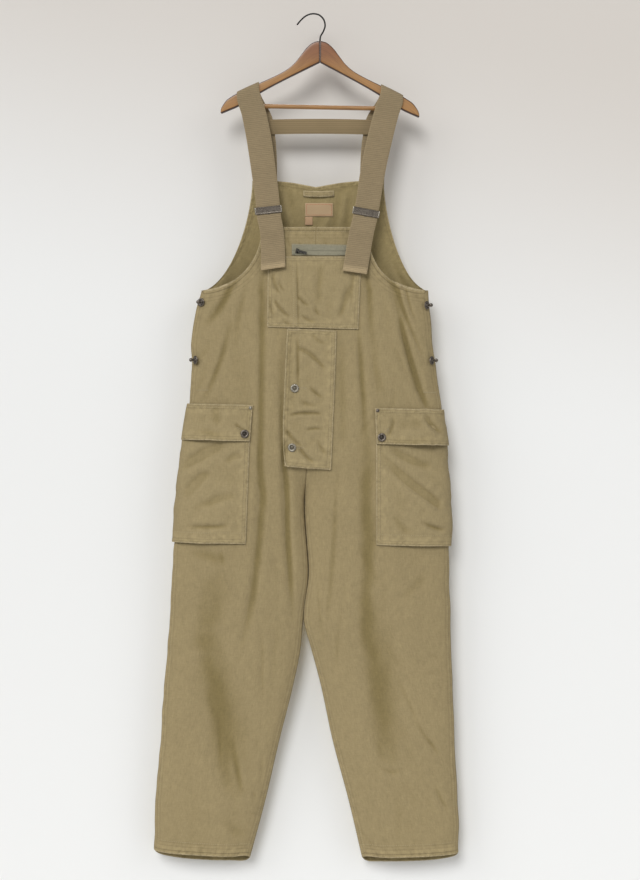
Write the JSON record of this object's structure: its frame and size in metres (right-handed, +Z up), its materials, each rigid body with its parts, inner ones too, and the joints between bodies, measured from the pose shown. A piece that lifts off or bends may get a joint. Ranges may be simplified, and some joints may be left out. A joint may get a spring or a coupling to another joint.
{
  "type": "dungarees on a hanger",
  "caption": "Work dungarees with a bib, webbing shoulder straps, buckles, a fly flap and cargo pockets, hanging flat from a wooden hanger with a wire hook.",
  "frame": {"origin": "the inside top of the hanger's hook, where a peg or rail carries it", "axes": "+Z up, +X towards the wearer's left, the fronts face -Y"},
  "size_m": [0.6089, 0.0907, 1.6843],
  "materials": {
    "twill": "matt cotton twill",
    "webbing": "matt cotton webbing",
    "zip_tape": "matt woven tape",
    "label": "matt woven label",
    "wood": "satin varnish",
    "steel": "antique, worn bright at the edges",
    "dark_steel": "dark, satin",
    "nickel": "dull nickel"
  },
  "bodies": {
    "garment_and_hanger": {"front_left": "twill", "front_right": "twill", "back_bib": "twill", "back_left": "twill", "back_right": "twill", "bib_pocket": "twill", "zip_tape": "zip_tape", "fly_flap": "twill", "cargo_pocket_left": "twill", "cargo_pocket_right": "twill", "cargo_flap_left": "twill", "cargo_flap_right": "twill", "strap_left": "webbing", "strap_right": "webbing", "anchor_left": "webbing", "anchor_right": "webbing", "cross_strap": "webbing", "hanging_loop": "twill", "label": "label", "size_tab": "label", "zip_slider": "nickel", "buckle_left": "steel", "buckle_right": "steel", "fly_button_top": "nickel", "fly_button_bottom": "nickel", "cargo_button_left": "dark_steel", "cargo_button_right": "dark_steel", "cargo_rivet_left": "dark_steel", "cargo_rivet_right": "nickel", "side_stud_left_top": "dark_steel", "side_stud_left_bottom": "dark_steel", "side_stud_right_top": "dark_steel", "side_stud_right_bottom": "dark_steel", "hanger_arm_left": "wood", "hanger_arm_right": "wood", "hanger_bar": "wood", "hanger_hook": "dark_steel"},
    "zip_pull": {"zip_pull": "nickel"}
  },
  "joints": [
    {"name": "zip_pull_swing", "type": "hinge", "parent": "garment_and_hanger", "child": "zip_pull", "pos_m": [-0.03, -0.02765, -0.4755], "axis": [-0.2419, 0, -0.9703], "range_deg": [0, 150]}
  ]
}
